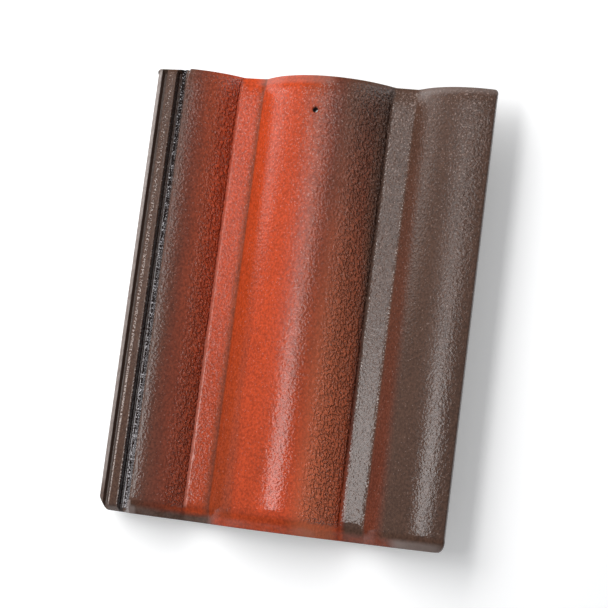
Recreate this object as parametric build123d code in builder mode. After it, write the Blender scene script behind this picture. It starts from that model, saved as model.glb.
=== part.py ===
from build123d import *
import os
from math import hypot, sqrt

# Double-roll interlocking roof tile with two flat-bottomed water channels, one moulded piece.
# It lies face up: +X runs towards the overlapping edge, +Y towards the head (the ridge side), +Z up.
# The origin is the centre of the footprint, on the floor. All sizes are in millimetres.

# Plan
tile_width = 331.0
overall_length = 424.0
cover_width = 300.0           # from one tile to its neighbour on the roof
head_bow = 2.6                # how far the middle of the head stands past its corners
tail_bow = 1.2
head_left_radius = 3.0
head_right_radius = 4.0
tail_right_radius = 9.0
corner_cut_across = 7.3       # the clipped tail corner of the side lock
corner_cut_along = 10.7
corner_cut_radius = 8.0

# Waves. Heights are above the top of the channels, and places are from the left edge.
wall = 11.5
roll_height = 28.3
middle_roll_width = 125.2
side_roll_width = 129.4
edge_past_crest = 14.4        # the side roll's crest to the overlapping edge
edge_radius = 2.0
channel_root_radius = 5.0     # under the channels, where the walls meet
channel_left_cove = 2.0       # in the channels, at the foot of the roll on each side
channel_right_cove = 6.0

# Side lock at the left edge, which the neighbour's edge covers
lip_width = 4.2
lip_edge = 8.8                # the lip's top slopes up from here, away from the edge
lip_top = 10.8
lip_radius = 1.3
gutter_left = 4.9
gutter_right = 9.4
gutter_floor = 4.5
gutter_radius = 1.0
rib_left = 10.2
rib_right = 19.4
rib_top = 12.5
rib_radius = 0.9
groove_left = 20.6
groove_right = 25.0
groove_floor = 5.0
groove_cove = 4.0
arris_place = 35.6            # top corner of the bank that climbs out of the groove
arris_radius = 1.6
bank_wall = 9.5
lock_underside = -3.0

# Overlapping edge: ribs that hang into the neighbour's lock, clear of it
lap_clearance = 2.0
outer_rib_tip = 8.0
outer_rib_width = 2.6
inner_rib_tip = 9.0
inner_rib_width = 2.4
rib_draft = 0.8

# Bevelled ends
bevel_run = 12.0
bevel_drop = 5.9
lock_bevel_run = 5.0
lock_bevel_drop = 2.2

# Hanging nibs under the channels at the head, and two weather bars under the tail
nib_depth = 12.0
nib_width = 24.0
nib_root = 17.0
nib_end = 12.0
nib_inset = 24.0              # head corners to the face that hooks on the batten
bar_width = 8.0
bar_inset = 9.0
bar_spacing = 26.0
bar_end_clearance = 3.0

# Nail hole near the head
nail_hole_radius = 2.6
nail_hole_place = 164.2
nail_hole_inset = 32.0        # head corners to the hole

# Derived places
roll_pitch = cover_width / 2
right_crest = tile_width - edge_past_crest
middle_crest = right_crest - roll_pitch
left_crest = middle_crest - roll_pitch
middle_half = middle_roll_width / 2
side_half = side_roll_width / 2
pan_height = nib_depth + wall
head_line = overall_length / 2 - head_bow
tail_line = tail_bow - overall_length / 2
deep = -2 * (wall + nib_depth)
sky = 2 * roll_height
spare = 5.0
half_width = tile_width / 2


def roll_radius(half):
    """Radius of the arc that spans a roll of this half width."""
    return (half**2 + roll_height**2) / (2 * roll_height)


def roll_point(crest, half, place, depth=0.0):
    """Point of a roll's surface at a place across the tile, or of the arc at a depth under it."""
    radius = roll_radius(half)
    return (place, sqrt((radius - depth) ** 2 - (place - crest) ** 2) - (radius - roll_height))


def roll_foot(half):
    """Distance from the crest at which the arc under a roll reaches the underside of a channel."""
    radius = roll_radius(half)
    return sqrt((radius - wall) ** 2 - (radius - roll_height - wall) ** 2)


def roll_arc(crest, half, start, end, depth=0.0):
    """Arc of a roll from one place to another."""
    middle = roll_point(crest, half, (start + end) / 2, depth)
    return ThreePointArc(
        roll_point(crest, half, start, depth), middle, roll_point(crest, half, end, depth)
    )


def section_at(along):
    """Plane across the tile, with its origin at the left edge, level with the channels."""
    return Plane(origin=(-tile_width / 2, along, pan_height), x_dir=(1, 0, 0), z_dir=(0, -1, 0))


def channel_centre(crest, half):
    """Place of the middle of the channel to the left of a roll."""
    other_half = middle_half if half == side_half else side_half
    return (crest - half + crest - roll_pitch + other_half) / 2


# Everything under the weather face, down to a depth, as one face
arris = roll_point(left_crest, side_half, arris_place)
edge_top = roll_point(right_crest, side_half, tile_width)
with BuildSketch() as under_face:
    with BuildLine():
        FilletPolyline(
            (0, lip_edge),
            (lip_width, lip_top),
            (gutter_left, gutter_floor),
            (gutter_right, gutter_floor),
            (rib_left, rib_top),
            (rib_right, rib_top),
            (groove_left, groove_floor),
            (groove_right, groove_floor),
            arris,
            radius=[lip_radius, gutter_radius, gutter_radius, rib_radius, rib_radius, 0, groove_cove],
        )
        roll_arc(left_crest, side_half, arris_place, left_crest + side_half)
        Line((left_crest + side_half, 0), (middle_crest - middle_half, 0))
        roll_arc(middle_crest, middle_half, middle_crest - middle_half, middle_crest + middle_half)
        Line((middle_crest + middle_half, 0), (right_crest - side_half, 0))
        roll_arc(right_crest, side_half, right_crest - side_half, tile_width)
        Polyline(edge_top, (tile_width, deep), (0, deep), (0, lip_edge))
    make_face()
    fillet(under_face.vertices().sort_by_distance((0, lip_edge))[0], lip_radius)
    fillet(under_face.vertices().sort_by_distance(arris)[0], arris_radius)
    fillet(under_face.vertices().sort_by_distance(edge_top)[0], edge_radius)
    for root, cove in (
        (left_crest + side_half, channel_left_cove),
        (middle_crest - middle_half, channel_right_cove),
        (middle_crest + middle_half, channel_left_cove),
        (right_crest - side_half, channel_right_cove),
    ):
        fillet(under_face.vertices().sort_by_distance((root, 0))[0], cove)

# The bank's inner face is parallel to its outer face, and ends on the arc under the left roll
bank_length = hypot(arris[0] - groove_right, arris[1] - groove_floor)
bank_run = (arris[0] - groove_right) / bank_length
bank_rise = (arris[1] - groove_floor) / bank_length
bank_foot = groove_right + (bank_wall - (groove_floor - lock_underside) * bank_run) / bank_rise
under_radius = roll_radius(side_half) - wall
to_centre = (left_crest - bank_foot, roll_height - wall - under_radius - lock_underside)
along_bank = to_centre[0] * bank_run + to_centre[1] * bank_rise
bank_reach = along_bank + sqrt(along_bank**2 - hypot(*to_centre) ** 2 + under_radius**2)
bank_head = bank_foot + bank_reach * bank_run

# The ribs of the overlapping edge follow the lock of the neighbour that they hang into
outer_rib_left = cover_width + groove_left - rib_draft + lap_clearance
outer_rib_right = outer_rib_left + outer_rib_width
edge_bottom = outer_rib_tip + (tile_width - outer_rib_right) * bank_rise / bank_run
lap_ceiling = rib_top + lap_clearance
inner_rib_left = cover_width + (gutter_left + gutter_right - inner_rib_width) / 2
inner_rib_right = inner_rib_left + inner_rib_width
hollow_end = inner_rib_left - rib_draft

# Section: what lies between the weather face and the underside
with BuildSketch() as section:
    add(under_face.sketch)
    with BuildLine():
        Polyline(
            (tile_width + spare, edge_bottom),
            (tile_width, edge_bottom),
            (outer_rib_right, outer_rib_tip),
            (outer_rib_left, outer_rib_tip),
            (outer_rib_left - rib_draft, lap_ceiling),
            (inner_rib_right + rib_draft, lap_ceiling),
            (inner_rib_right, inner_rib_tip),
            (inner_rib_left, inner_rib_tip),
            roll_point(right_crest, side_half, hollow_end, wall),
        )
        roll_arc(right_crest, side_half, hollow_end, right_crest - roll_foot(side_half), wall)
        Line((right_crest - roll_foot(side_half), -wall), (middle_crest + roll_foot(middle_half), -wall))
        roll_arc(
            middle_crest,
            middle_half,
            middle_crest + roll_foot(middle_half),
            middle_crest - roll_foot(middle_half),
            wall,
        )
        Line((middle_crest - roll_foot(middle_half), -wall), (left_crest + roll_foot(side_half), -wall))
        roll_arc(left_crest, side_half, left_crest + roll_foot(side_half), bank_head, wall)
        Polyline(
            roll_point(left_crest, side_half, bank_head, wall),
            (bank_foot, lock_underside),
            (-spare, lock_underside),
            (-spare, deep - spare),
            (tile_width + spare, deep - spare),
            (tile_width + spare, edge_bottom),
        )
    make_face(mode=Mode.SUBTRACT)
    for crest, half, side in (
        (left_crest, side_half, 1),
        (middle_crest, middle_half, -1),
        (middle_crest, middle_half, 1),
        (right_crest, side_half, -1),
    ):
        root = (crest + side * roll_foot(half), -wall)
        fillet(section.vertices().sort_by_distance(root)[0], channel_root_radius)

# Air over the weather face, which the end bevels push down. The lock and the rest have one each.
bevel_shelf = rib_top + bevel_drop
with BuildSketch() as body_air:
    with BuildLine():
        Polyline(
            (rib_right, bevel_shelf),
            (arris_place, bevel_shelf),
            (arris_place, -spare),
            (tile_width + spare, -spare),
            (tile_width + spare, sky),
            (rib_right, sky),
            close=True,
        )
    make_face()
    add(under_face.sketch, mode=Mode.SUBTRACT)
with BuildSketch() as lock_air:
    with BuildLine():
        Polyline(
            (-spare, groove_floor - spare),
            (groove_right, groove_floor - spare),
            (groove_right, sky),
            (-spare, sky),
            close=True,
        )
    make_face()
    add(under_face.sketch, mode=Mode.SUBTRACT)

# Weather bars: from inside the wall down to the weather face of the tile that they rest on
bar_start = bank_head + bar_end_clearance
bar_end = hollow_end - bar_end_clearance
with BuildSketch() as bar_section:
    with Locations((0, -wall / 2)):
        add(under_face.sketch)
    with Locations((0, -wall - nib_depth)):
        add(under_face.sketch, mode=Mode.SUBTRACT)
    with Locations(((bar_start + bar_end) / 2, 0)):
        Rectangle(bar_end - bar_start, 2 * sky, mode=Mode.INTERSECT)

with BuildPart() as roof_tile:
    with BuildSketch(section_at(0)):
        add(section.sketch)
    extrude(amount=overall_length / 2 + spare, both=True)

    # Plan: bowed ends, rounded corners and the clipped corner of the lock
    with BuildSketch(Plane.XY) as plan:
        with BuildLine():
            ThreePointArc((-half_width, head_line), (0, overall_length / 2), (half_width, head_line))
            Line((half_width, head_line), (half_width, tail_line))
            ThreePointArc((half_width, tail_line), (0, -overall_length / 2), (-half_width, tail_line))
            Line((-half_width, tail_line), (-half_width, head_line))
        make_face()
        with BuildLine():
            Polyline(
                (-half_width - corner_cut_across, tail_line + 2 * corner_cut_along),
                (-half_width + 2 * corner_cut_across, tail_line - corner_cut_along),
                (-half_width - corner_cut_across, tail_line - corner_cut_along),
                close=True,
            )
        make_face(mode=Mode.SUBTRACT)
        for corner, radius in (
            ((-half_width, head_line), head_left_radius),
            ((half_width, head_line), head_right_radius),
            ((half_width, tail_line), tail_right_radius),
            ((-half_width, tail_line + corner_cut_along), corner_cut_radius),
            ((-half_width + corner_cut_across, tail_line), corner_cut_radius),
        ):
            fillet(plan.vertices().sort_by_distance(corner)[0], radius)
    extrude(amount=pan_height + sky, mode=Mode.INTERSECT)

    # Bevels at the head and the tail
    for end, line in ((1, head_line), (-1, tail_line)):
        for air, run, drop in (
            (body_air, bevel_run, bevel_drop),
            (lock_air, lock_bevel_run, lock_bevel_drop),
        ):
            with BuildSketch(section_at(line - end * run)):
                add(air.sketch)
            extrude(amount=2 * hypot(run, drop), dir=(0, end * run, -drop), mode=Mode.SUBTRACT)

    # Nibs, one under each channel, with the batten face square to the underside
    nib_top = nib_depth + wall / 2
    for crest, half in ((middle_crest, middle_half), (right_crest, side_half)):
        nib_middle = channel_centre(crest, half) - tile_width / 2
        hook = head_line - nib_inset
        with BuildSketch(Plane.YZ.offset(nib_middle)):
            with BuildLine():
                Polyline(
                    (hook, 0),
                    (hook + nib_end, 0),
                    (hook + nib_root, nib_top),
                    (hook, nib_top),
                    close=True,
                )
            make_face()
        extrude(amount=nib_width / 2, both=True)

    # Weather bars under the tail
    for bar in range(2):
        with BuildSketch(section_at(tail_line + bar_inset + bar * bar_spacing)):
            add(bar_section.sketch)
        extrude(amount=-bar_width)

    # Nail hole
    with Locations((nail_hole_place - tile_width / 2, head_line - nail_hole_inset, pan_height)):
        Hole(nail_hole_radius)

roof_tile.part.label = "roof_tile"
os.makedirs("parts", exist_ok=True)
export_step(roof_tile.part, "parts/roof_tile.step")
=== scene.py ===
import bpy
import numpy as np
from mathutils import Matrix, Vector


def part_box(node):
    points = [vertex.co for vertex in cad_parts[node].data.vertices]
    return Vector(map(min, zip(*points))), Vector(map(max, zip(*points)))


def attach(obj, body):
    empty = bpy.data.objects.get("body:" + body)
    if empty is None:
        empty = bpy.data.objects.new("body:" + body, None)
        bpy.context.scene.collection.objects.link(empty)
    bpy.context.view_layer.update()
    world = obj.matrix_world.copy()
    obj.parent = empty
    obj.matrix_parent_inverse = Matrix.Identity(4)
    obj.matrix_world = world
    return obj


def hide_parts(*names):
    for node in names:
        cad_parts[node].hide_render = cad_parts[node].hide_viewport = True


# Double-roll interlocking roof tile with a flamed, glossy coat, lying face up on a white floor.
# Sizes are in millimetres until a mesh is made. Places across the tile count from its left edge and
# heights from the top of its channels; places along it count from its middle, towards the head.

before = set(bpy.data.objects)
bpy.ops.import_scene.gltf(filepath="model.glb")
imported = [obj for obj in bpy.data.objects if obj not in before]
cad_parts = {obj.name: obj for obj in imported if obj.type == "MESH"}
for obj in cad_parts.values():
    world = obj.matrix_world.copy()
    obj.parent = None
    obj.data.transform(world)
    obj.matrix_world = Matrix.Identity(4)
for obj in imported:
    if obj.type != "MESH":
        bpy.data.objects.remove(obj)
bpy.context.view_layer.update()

MM = 0.001
NODE = "roof_tile"
node_low, node_high = (np.array(corner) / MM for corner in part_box(NODE))
tile_width = float(node_high[0] - node_low[0])

# Rolls and channels, as in the solid
ROLL_HEIGHT = 28.3
WALL = 11.5
COVER_WIDTH = 300.0
EDGE_PAST_CREST = 14.4
MIDDLE_HALF = 62.6
SIDE_HALF = 64.7
HEAD_BOW = 2.6
TAIL_BOW = 1.2
right_crest = tile_width - EDGE_PAST_CREST
middle_crest = right_crest - COVER_WIDTH / 2
left_crest = right_crest - COVER_WIDTH
ROLLS = ((left_crest, SIDE_HALF), (middle_crest, MIDDLE_HALF), (right_crest, SIDE_HALF))
CHANNELS = tuple((a[0] + a[1] + b[0] - b[1]) / 2 for a, b in zip(ROLLS, ROLLS[1:]))
channel_roots = [crest + side * half for crest, half in ROLLS for side in (-1, 1)][1:5]
pan_height = float(node_high[2]) - ROLL_HEIGHT
head_line = float(node_high[1]) - HEAD_BOW
tail_line = float(node_low[1]) + TAIL_BOW
CHANNEL_COVES = (1.0, 1.8)        # rounding at a channel's left and right root
COVE_STOPS = (-70.0, -5.0, 5.0, 60.0)
CHANNEL_ROOT = 3.0                # the same under the tile, thicker
ARRIS_PLACE = 35.6
EDGE_START = 327.4

# Side lock, from the left edge: lip, gutter, rib, groove and the bank up to the left roll
RIB_HEIGHT = 12.5
LIP_FOOT = 6.5
LOCK_CORNERS = (
    # place, height, corner radius
    (0.0, 8.8, 1.3),
    (4.2, 10.8, 0.5),
    (4.9, 4.5, 1.0),
    (9.4, 4.5, 1.0),
    (10.2, RIB_HEIGHT, 0.9),
    (19.4, RIB_HEIGHT, 0.9),
    (20.6, 5.0, 0.5),
    (25.0, 5.0, 4.0),
)
GROOVE_END = LOCK_CORNERS[-1][0]
ARRIS_RADIUS = 1.6
ARRIS_REACH = 3.6                 # the lock's section ends this far past the arris
EDGE_RADIUS = 2.0
EDGE_FACE = 3.0                   # the face's section ends this far down the overlapping edge
LOCK_UNDERSIDE = -3.0
BANK_FOOT = 31.6
BANK_SLOPE = 2.0

# Ribs that hang under the overlapping edge: place, height, or None for the height of the hollow there
EDGE_RIBS = (
    (305.15, None),
    (305.95, 9.0),
    (308.35, 9.0),
    (309.15, 14.5),
    (321.0, 14.5),
    (321.8, 8.0),
    (324.4, 8.0),
    (331.0, 21.2),
)

# Ends
CORNER_RADII = {"head": (3.0, 4.0), "tail": (0.0, 9.0)}
CLIP_ACROSS = 8.5
CLIP_ALONG = 8.7
CLIP_POWER = 1.9
LOCK_END = 28.0                   # the lock's head stands a little past the corner line up to here
LOCK_PAST_HEAD = 0.9
LOCK_PAST_FADE = 6.0
END_ZONE = 20.0                   # the rows this near an end bend to follow its outline
END_ARRIS = 0.8
BEVEL_DROP = 5.9
LOCK_HEAD_LEVEL = 11.0            # the lock's steps run out into this height at the head
LOCK_HEAD_RUN = 3.4
LOCK_STEPS_FADE = 4.0
LOCK_CUT_FOOT = 3.0               # the knife's slanting cut across the lock at the tail
LOCK_CUT_SLOPE = 1.9
BEVEL_SHELF = RIB_HEIGHT + BEVEL_DROP
BEVEL_ONSETS = {"head": 7.0, "tail": 2.2}  # softness of the ridge where a bevel starts
HEAD_BEVEL = (8.0, 12.5)          # run over the side rolls, run over the middle one
TAIL_BEVEL = (8.0, 17.0)

# Underside. The nibs hang under the channels' middles.
NIB_HOOK = 24.0
NIB_END = 12.0
NIB_SLOPE = 17.75 / 5.0
NIB_HALF = 12.0
NIB_BACK = 3.4                    # run of the nib's sloping back
BAR_SPAN = (42.9, 302.15)
BARS = ((9.0, 17.0), (35.0, 43.0))
DRAFT = 0.3

# Nail hole. Sizes of its block of cells are in cells.
HOLE_PLACE = 164.2
HOLE_INSET = 32.0
HOLE_RADIUS = 2.6
HOLE_STEP = 0.9
HOLE_CELLS = 3
HOLE_REACH = 9
HOLE_REACH_UNDER = 5
HOLE_FADE_POWER = 1.5
HOLE_RING = 0.35                  # height of the coat's ring round the hole
HOLE_RING_AWAY = 1.1
HOLE_RING_HALF = 0.8
HOLE_DIP = 0.55                   # how far the coat sinks at the rim
HOLE_DIP_REACH = 0.45
hole_along = head_line - HOLE_INSET

# Steps of the grids, in millimetres: on the face, at a channel's root, round the lock and over the edge
FACE_STEP = 1.3
ROOT_STEP = 0.5
ROOT_REACH = 2.4                  # the closer places lie up to this far from a root
LOCK_STEP = 0.62
EDGE_STEP = 0.5
END_ROWS = (0.0, 0.1, 0.3, END_ARRIS, 1.7, 2.9)  # distances of the first rows from an end
END_ROWS_REACH = 4.2              # the even rows start this far from it
ROW_STEP = 1.6
ROW_STEP_MIDDLE = 2.15
UNDER_STEP = 4.0
UNDER_ROW_STEP = 9.0
UNDER_END_GAPS = (6.0, 5.0)       # from the tail and the head to the underside's first and last even row
UNDER_ROOT_STEP = 2.0
UNDER_LOCK_PLACES = (0.0, 0.6, 1.6, BANK_FOOT, 35.0, 39.9)
UNDER_EDGE_INSETS = (0.0, 0.4, 1.5, 3.5)
UNDER_HOLE_GAPS = (0.8, 1.0)      # from the hole's block to the nearest even place and row
NEAREST = 0.15                    # places nearer than this to the one before are left out
SIDE_KEPT = 0.05                  # the relief moves no point sideways that is this near to a side

# Relief. A field of waves has a seed, a count, the shortest and longest wave, and a stretch along the tile.
PILLOW_WAVES = (3, 70, (4.0, 7.5), 1.9)
SAND_WAVES = (5, 60, (3.2, 5.0), 1.2)
SWELL_WAVES = (8, 24, (30.0, 80.0), 2.5)
BEAD_WAVES = (9, 40, (3.0, 8.0), 1.0)
PILLOW_HEIGHT = 0.15
SAND_HEIGHT = 0.035
SWELL_HEIGHT = 0.05
CREASE_DEPTH = 0.8                # of a field's unit spread, from a pillow's middle level to its crease
LEATHER = ((66.0, 84.0), (194.0, 232.0))  # flanks where the coat is leathery
LEATHER_FADE = 7.0
BEAD_PLACE = 22.8                 # a broken bead of coat along the foot of the bank
BEAD_HALF = 0.6
BEAD_HEIGHT = 0.45
BEAD_BREAKS = (0.6, 0.5, 1.4)     # the bead's mean share of its height, its spread and its most
CALM_BEVEL = 1.2                  # the relief is gone where a bevel is this deep
CALM_HOLE = 2.0                   # it starts to fade this far from the nail hole
CALM_HOLE_LEFT = 0.15
CALM_LOCK = 0.45
CALM_END = 3.0

SHARP_ANGLE = 42.0
MATERIAL_SLOTS = {"face": 0, "underside": 1, "hole": 2}  # the outer walls have the face's


def srgb(red, green, blue):
    """Linear colour of a colour given as screen values from 0 to 255."""
    share = np.array((red, green, blue)) / 255
    linear = np.where(share > 0.04045, ((share + 0.055) / 1.055) ** 2.4, share / 12.92)
    return (*(float(c) for c in linear), 1.0)


# Section

def rounded(corners, start, end):
    """Polyline from start over the corners (place, height, radius) to end, in which a circular arc that
    touches both sides stands for each corner: centre + (sin((1-s)a) v0 + sin(sa) v1) / sin(a)."""
    path = [np.array([start])]
    stops = [np.array(start)] + [np.array(c[:2]) for c in corners] + [np.array(end)]
    share = np.linspace(0, 1, 9)[:, None]
    for k, corner in enumerate(corners, 1):
        back, ahead = stops[k - 1] - stops[k], stops[k + 1] - stops[k]
        back, ahead = back / np.linalg.norm(back), ahead / np.linalg.norm(ahead)
        turn = np.pi - np.arccos(np.clip(back @ ahead, -1, 1))
        reach = corner[2] * np.tan(turn / 2)
        bisector = (back + ahead) / np.linalg.norm(back + ahead)
        centre = stops[k] + bisector * corner[2] / np.cos(turn / 2)
        first, last = stops[k] + back * reach - centre, stops[k] + ahead * reach - centre
        arc = (np.sin((1 - share) * turn) * first + np.sin(share * turn) * last) / np.sin(turn)
        path.append(centre + arc)
    path.append(np.array([end]))
    return np.concatenate(path)


def resampled(path, step):
    """The same polyline with points evenly spaced along its summed length, at most a step apart."""
    length = np.concatenate([[0], np.cumsum(np.hypot(*np.diff(path, axis=0).T))])
    places = np.linspace(0, length[-1], int(np.ceil(length[-1] / step)) + 1)
    return np.stack([np.interp(places, length, path[:, 0]), np.interp(places, length, path[:, 1])], 1)


def soft_max(a, b, softness):
    """The larger of two numbers, with the corner between them rounded: (a + b + sqrt((a-b)^2 + k^2)) / 2."""
    return (a + b + np.sqrt((a - b) ** 2 + softness**2)) / 2


def rolls_at(place, depth=0.0):
    """Height of the arcs of the rolls: the highest of sqrt((R-d)^2 - (x-crest)^2) - (R-h)."""
    arcs = []
    for crest, half in ROLLS:
        radius = (half**2 + ROLL_HEIGHT**2) / (2 * ROLL_HEIGHT)
        above_centre = np.sqrt(np.maximum((radius - depth) ** 2 - (place - crest) ** 2, 0))
        arcs.append(above_centre - radius + ROLL_HEIGHT)
    return np.max(arcs, axis=0)


def weather_at(place):
    """Height of the weather face over rolls and channels: a soft maximum of the arcs and the level 0, softer
    at the right root of each channel."""
    stops = np.add.outer(CHANNELS, COVE_STOPS).ravel()
    coves = np.tile(np.repeat(CHANNEL_COVES, 2), 2)
    return soft_max(rolls_at(place), 0.0, np.interp(place, stops, coves))


def underside_at(place):
    """Height of the underside: a soft maximum of the arcs and the level, both a wall's thickness down, held
    under the bank's sloping inner face on the left, and straight lines from rib to rib at the edge."""
    hollow = soft_max(rolls_at(place, WALL), -WALL, CHANNEL_ROOT)
    bank = np.maximum(LOCK_UNDERSIDE, LOCK_UNDERSIDE + (place - BANK_FOOT) * BANK_SLOPE)
    height = np.where(place > middle_crest, hollow, np.minimum(hollow, bank))
    ribs = [(x, rolls_at(x, WALL) if z is None else z) for x, z in EDGE_RIBS]
    return np.where(place > ribs[0][0], np.interp(place, *np.array(ribs).T), height)


# Ends

def end_outline(place, end):
    """How far the outline of an end lies beyond its corner line: a bow h(1-(2x/w-1)^2), less r-sqrt(r^2-t^2)
    at a rounded corner, and less c(1-x/a)^p at the tail's clipped corner. At the head the lock stands out
    by a step that fades evenly."""
    bow = HEAD_BOW if end == "head" else TAIL_BOW
    beyond = bow * (1 - (2 * place / tile_width - 1) ** 2)
    for radius, inset in zip(CORNER_RADII[end], (place, tile_width - place)):
        if radius:
            into = np.clip(radius - inset, 0, radius)
            beyond = beyond - (radius - np.sqrt(radius**2 - into**2))
    if end == "tail":
        return beyond - CLIP_ALONG * np.maximum(0, 1 - place / CLIP_ACROSS) ** CLIP_POWER
    return beyond + LOCK_PAST_HEAD * np.clip((LOCK_END + LOCK_PAST_FADE - place) / LOCK_PAST_FADE, 0, 1)


def bevel_run(place, runs):
    """Run of a bevel, widest over the middle roll: b + (m-b) max(0, 1 - ((x-c)/w)^2)."""
    from_crest = (place - middle_crest) / (COVER_WIDTH / 2)
    return runs[0] + (runs[1] - runs[0]) * np.maximum(0, 1 - from_crest**2)


def head_of_lock(place, height, ramp, to_outline):
    """How far the head lowers the face left of the arris: on the bank by the bevel's ramp, which starts no
    lower than the shelf, and on the lock by a smooth step s^2(3-2s) towards one level."""
    over_bank = height - np.minimum(height, np.maximum(height, BEVEL_SHELF) - ramp)
    into = np.clip(1 - to_outline / LOCK_HEAD_RUN, 0, 1)
    over_lock = (height - LOCK_HEAD_LEVEL) * into * into * (3 - 2 * into)
    over_lock = over_lock * np.clip((LOCK_END - place) / LOCK_STEPS_FADE, 0, 1)
    return np.where(place > LOCK_END, over_bank, over_lock)


def tail_of_lock(place, height, run, to_outline):
    """How far the tail lowers the face left of the arris: down to a plane f + s t that rises from the
    outline, with a foot and slope that change evenly up the bank into the bevel's."""
    up_bank = np.clip((place - GROOVE_END) / (ARRIS_PLACE - GROOVE_END), 0, 1)
    foot = LOCK_CUT_FOOT + up_bank * (rolls_at(ARRIS_PLACE) - BEVEL_DROP - LOCK_CUT_FOOT)
    slope = LOCK_CUT_SLOPE + up_bank * (BEVEL_DROP / run - LOCK_CUT_SLOPE)
    return np.maximum(height - foot - slope * to_outline, 0)


def bevel(place, along, height):
    """How far the ends lower the weather face: over the rolls by a ramp from the bevel's ridge to the end,
    a soft maximum of 0 and the distance past the ridge, and left of the arris as the lock's ends say."""
    lowered = np.zeros_like(along)
    for end, line, sign, runs in (("head", head_line, 1, HEAD_BEVEL), ("tail", tail_line, -1, TAIL_BEVEL)):
        past = sign * (along - line)
        run, onset = bevel_run(place, runs), BEVEL_ONSETS[end]
        ramp = (soft_max(past + run, 0.0, onset) - onset**2 / (4 * run)) * BEVEL_DROP / run
        ramp = np.maximum(ramp, 0)
        to_outline = end_outline(place, end) - past
        if end == "head":
            low = head_of_lock(place, height, ramp, to_outline)
        else:
            low = tail_of_lock(place, height, run, to_outline)
        lowered = lowered + np.where(place > ARRIS_PLACE, ramp, low)
    return lowered


# Relief

def waves(across, along, seed, count, lengths, stretch):
    """A random field of unit spread: a sum of plane waves cos(k.p + phase), with wavelengths drawn between
    the two lengths and stretched along the tile."""
    rng = np.random.default_rng(seed)
    field = np.zeros_like(across)
    for _ in range(count):
        angle, length = rng.uniform(0, np.pi), rng.uniform(*lengths)
        k_across, k_along = 2 * np.pi / length * np.cos(angle), 2 * np.pi / length * np.sin(angle) / stretch
        field += np.cos(k_across * across + k_along * along + rng.uniform(0, 2 * np.pi))
    return field * np.sqrt(2 / count)


def relief(across, along, smooth):
    """Leathery grain of the coat, in mm: pillows |f| with creases where f passes zero, high where the
    flanks are leathery and low elsewhere, on slow swells. A broken bead exp(-(x/b)^2) runs along the foot
    of the bank."""
    leather = np.zeros_like(across)
    for start, end in LEATHER:
        leather = np.maximum(leather, np.clip(np.minimum(across - start, end - across) / LEATHER_FADE, 0, 1))
    pillows = np.abs(waves(across, along, *PILLOW_WAVES)) - CREASE_DEPTH
    sand = np.abs(waves(across, along, *SAND_WAVES)) - CREASE_DEPTH
    swell = waves(across, along, *SWELL_WAVES)
    mean, spread, most = BEAD_BREAKS
    broken = np.clip(mean + spread * waves(across, along, *BEAD_WAVES), 0, most)
    bead = np.exp(-(((across - BEAD_PLACE) / BEAD_HALF) ** 2)) * broken
    grain = PILLOW_HEIGHT * leather * pillows + SAND_HEIGHT * (1 - leather) * sand
    return (grain + SWELL_HEIGHT * swell) * smooth + BEAD_HEIGHT * bead


def calm(place, lowered, from_hole, to_end):
    """Share of the relief that is left: none on the bevels and at the ends, little at the nail hole, and
    about half on the lock."""
    near_hole = np.clip((from_hole - HOLE_RADIUS) / CALM_HOLE, CALM_HOLE_LEFT, 1)
    smooth = (1 - np.clip(lowered / CALM_BEVEL, 0, 1)) * near_hole
    return smooth * np.where(place < ARRIS_PLACE, CALM_LOCK, 1.0) * np.clip(to_end / CALM_END, 0, 1)


def hole_relief(from_hole):
    """Coat at the nail hole: a ring exp(-((r-a)/b)^2) outside of the rim, and a dip exp(-r/c) into it."""
    past_rim = from_hole - HOLE_RADIUS
    ring = HOLE_RING * np.exp(-(((past_rim - HOLE_RING_AWAY) / HOLE_RING_HALF) ** 2))
    return ring - HOLE_DIP * np.exp(-np.maximum(past_rim, 0) / HOLE_DIP_REACH)


# Grids

def spaced(start, end, step):
    """Evenly spaced places from start to end, about a step apart, without the last."""
    return np.linspace(start, end, max(int(np.ceil((end - start) / step)), 1) + 1)[:-1]


def lines(stops, end):
    """Places from a list of (start, step), each run reaching to the next start, the last one to the end."""
    starts = [s for s, _ in stops] + [end]
    runs = [spaced(a, b, step) for (a, step), b in zip(stops, starts[1:])]
    return np.concatenate(runs + [np.array([end])])


def apart(places):
    """The places in order, without those that lie too near to the one before."""
    places = np.unique(np.round(places, 3))
    return places[np.concatenate([[True], np.diff(places) > NEAREST])]


def pierced(across, along, reach):
    """Grid with a round hole: squares of cells round the hole turn into rings, radius + (c-n) step at the
    ring c, and fade back into squares at the reach."""
    dx, dy = (across - HOLE_PLACE) / HOLE_STEP, (along - hole_along) / HOLE_STEP
    square = np.maximum(np.abs(dx), np.abs(dy))
    inside = square < reach + 0.5
    direction = np.arctan2(dy, dx)
    ring = HOLE_RADIUS + (square - HOLE_CELLS) * HOLE_STEP
    fade = np.clip((square - HOLE_CELLS) / (reach - HOLE_CELLS), 0, 1) ** HOLE_FADE_POWER
    round_x, round_y = HOLE_PLACE + ring * np.cos(direction), hole_along + ring * np.sin(direction)
    return (
        np.where(inside, round_x + (across - round_x) * fade, across),
        np.where(inside, round_y + (along - round_y) * fade, along),
    )


def hole_lines(rows, places):
    """Which rows and places of a grid bound the block of cells that the nail hole takes out."""
    reach = HOLE_CELLS + 0.1
    return np.abs(rows - hole_along) / HOLE_STEP < reach, np.abs(places - HOLE_PLACE) / HOLE_STEP < reach


def follow_ends(place, along):
    """Rows near an end move with its outline, fully at the end and not at all a zone away from it."""
    head = np.clip(1 - (head_line - along) / END_ZONE, 0, 1)
    tail = np.clip(1 - (along - tail_line) / END_ZONE, 0, 1)
    return along + head * end_outline(place, "head") - tail * end_outline(place, "tail")


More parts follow.
